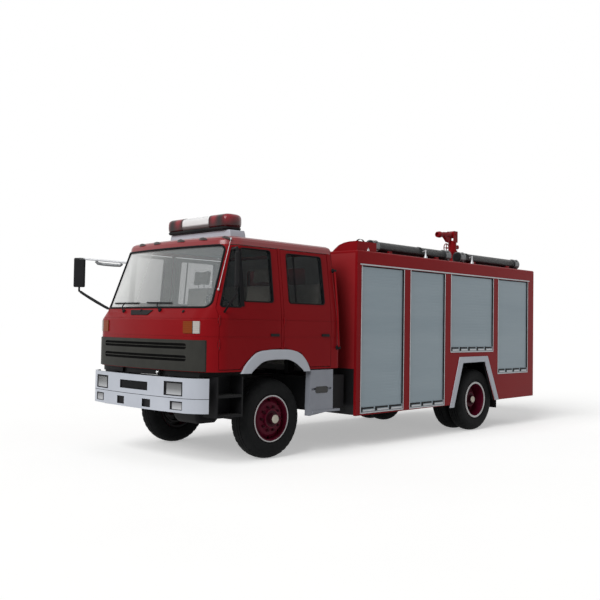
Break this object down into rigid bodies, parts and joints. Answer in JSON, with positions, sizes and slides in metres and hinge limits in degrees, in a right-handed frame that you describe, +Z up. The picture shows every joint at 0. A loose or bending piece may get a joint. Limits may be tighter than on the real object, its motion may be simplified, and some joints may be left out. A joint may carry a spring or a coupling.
{
  "type": "water tanker fire truck",
  "caption": "Crew-cab water tanker fire truck with an equipment body closed by roller shutters, a roof monitor, suction hoses and a light bar.",
  "frame": {"origin": "on the ground at the middle of the overall length and width", "axes": "+X forward, +Y to the truck's left, +Z up"},
  "size_m": [7.68, 3.1344, 3.431],
  "materials": {
    "red_paint": "gloss",
    "white_paint": "gloss",
    "black_steel": "satin",
    "grey_trim": "matte",
    "maroon_paint": "gloss",
    "tyre": "matte",
    "glass": "clear",
    "lamp": "clear",
    "aluminium": "satin",
    "hose_rubber": "matte",
    "seat_cloth": "matte",
    "cast": "matte"
  },
  "bodies": {
    "chassis": {"front_axle": "cast", "rear_axle": "cast", "propeller_shaft": "black_steel", "leaf_springs": "black_steel", "bumper": "white_paint", "road_lamps": "lamp", "frame_rails": "black_steel", "engine_gearbox": "cast", "side_tanks": "black_steel", "cab_steps": "black_steel", "fender_panels": "white_paint", "body_sides": "red_paint", "roller_shutters": "aluminium", "rear_arch_trims": "white_paint", "body_end_walls": "red_paint", "body_floor": "black_steel", "water_tank": "black_steel", "body_roof": "red_paint", "suction_hoses": "hose_rubber", "roof_fairings": "red_paint", "monitor_base": "red_paint", "rear_ladder": "aluminium"},
    "wheel_front_left": {"tyre_front_left": "tyre", "rim_front_left": "maroon_paint"},
    "wheel_rear_left": {"tyres_rear_left": "tyre", "rims_rear_left": "maroon_paint"},
    "steer_knuckle_left": {"knuckle_left": "cast"},
    "cab_door_front_left": {"door_front_left": "red_paint", "glass_front_left": "glass", "mirror_left": "black_steel"},
    "cab_door_rear_left": {"door_rear_left": "red_paint", "glass_rear_left": "glass"},
    "wheel_front_right": {"tyre_front_right": "tyre", "rim_front_right": "maroon_paint"},
    "wheel_rear_right": {"tyres_rear_right": "tyre", "rims_rear_right": "maroon_paint"},
    "steer_knuckle_right": {"knuckle_right": "cast"},
    "cab_door_front_right": {"door_front_right": "red_paint", "glass_front_right": "glass"},
    "cab_door_rear_right": {"door_rear_right": "red_paint", "glass_rear_right": "glass"},
    "track_rod": {"tie_rod": "black_steel"},
    "monitor_head": {"monitor_turret": "red_paint"},
    "monitor_gun": {"monitor_barrel": "red_paint"},
    "cab": {"cab_front": "red_paint", "cab_back": "red_paint", "cab_glass": "glass", "cab_floor": "black_steel", "cab_roof": "red_paint", "cab_sides": "red_paint", "front_arch_trims": "white_paint", "grille": "grey_trim", "cab_lamps": "lamp", "light_bar": "lamp", "cab_seats": "seat_cloth", "dashboard": "grey_trim", "steering_wheel": "grey_trim", "mirror_right": "black_steel"}
  },
  "joints": [
    {"name": "cab_tilt", "type": "hinge", "parent": "chassis", "child": "cab", "pos_m": [3.61, 0, 1.06], "axis": [0, 1, 0], "range_deg": [0, 40]},
    {"name": "steer_left", "type": "hinge", "parent": "chassis", "child": "steer_knuckle_left", "pos_m": [2.51, 0.8, 0.495], "axis": [0, 0, 1], "range_deg": [-33, 33]},
    {"name": "spin_front_left", "type": "hinge", "parent": "steer_knuckle_left", "child": "wheel_front_left", "pos_m": [2.51, 0.945, 0.495], "axis": [0, 1, 0], "continuous": true},
    {"name": "spin_rear_left", "type": "hinge", "parent": "chassis", "child": "wheel_rear_left", "pos_m": [-1.99, 0.89, 0.495], "axis": [0, 1, 0], "continuous": true},
    {"name": "open_front_left", "type": "hinge", "parent": "cab", "child": "cab_door_front_left", "pos_m": [3.4715, 1.169, 1.56], "axis": [0, 0, -1], "range_deg": [0, 65]},
    {"name": "open_rear_left", "type": "hinge", "parent": "cab", "child": "cab_door_rear_left", "pos_m": [2.4455, 1.191, 1.56], "axis": [0, 0, -1], "range_deg": [0, 65]},
    {"name": "steer_right", "type": "hinge", "parent": "chassis", "child": "steer_knuckle_right", "pos_m": [2.51, -0.8, 0.495], "axis": [0, 0, 1], "range_deg": [-33, 33]},
    {"name": "spin_front_right", "type": "hinge", "parent": "steer_knuckle_right", "child": "wheel_front_right", "pos_m": [2.51, -0.945, 0.495], "axis": [0, 1, 0], "continuous": true},
    {"name": "spin_rear_right", "type": "hinge", "parent": "chassis", "child": "wheel_rear_right", "pos_m": [-1.99, -0.89, 0.495], "axis": [0, 1, 0], "continuous": true},
    {"name": "open_front_right", "type": "hinge", "parent": "cab", "child": "cab_door_front_right", "pos_m": [3.4715, -1.169, 1.56], "axis": [0, 0, 1], "range_deg": [0, 65]},
    {"name": "open_rear_right", "type": "hinge", "parent": "cab", "child": "cab_door_rear_right", "pos_m": [2.4455, -1.191, 1.56], "axis": [0, 0, 1], "range_deg": [0, 65]},
    {"name": "track_rod_pivot", "type": "hinge", "parent": "steer_knuckle_left", "child": "track_rod", "pos_m": [2.29, 0.8, 0.417], "axis": [0, 0, 1], "range_deg": [-33, 33]},
    {"name": "monitor_turn", "type": "hinge", "parent": "chassis", "child": "monitor_head", "pos_m": [-3.017, 0, 3.09], "axis": [0, 0, 1], "continuous": true},
    {"name": "monitor_lift", "type": "hinge", "parent": "monitor_head", "child": "monitor_gun", "pos_m": [-3.017, 0, 3.365], "axis": [0, -1, 0], "range_deg": [-15, 70]}
  ],
  "couplings": [
    {"joint": "steer_right", "follows": "steer_left", "ratio": 1},
    {"joint": "track_rod_pivot", "follows": "steer_left", "ratio": -1}
  ]
}
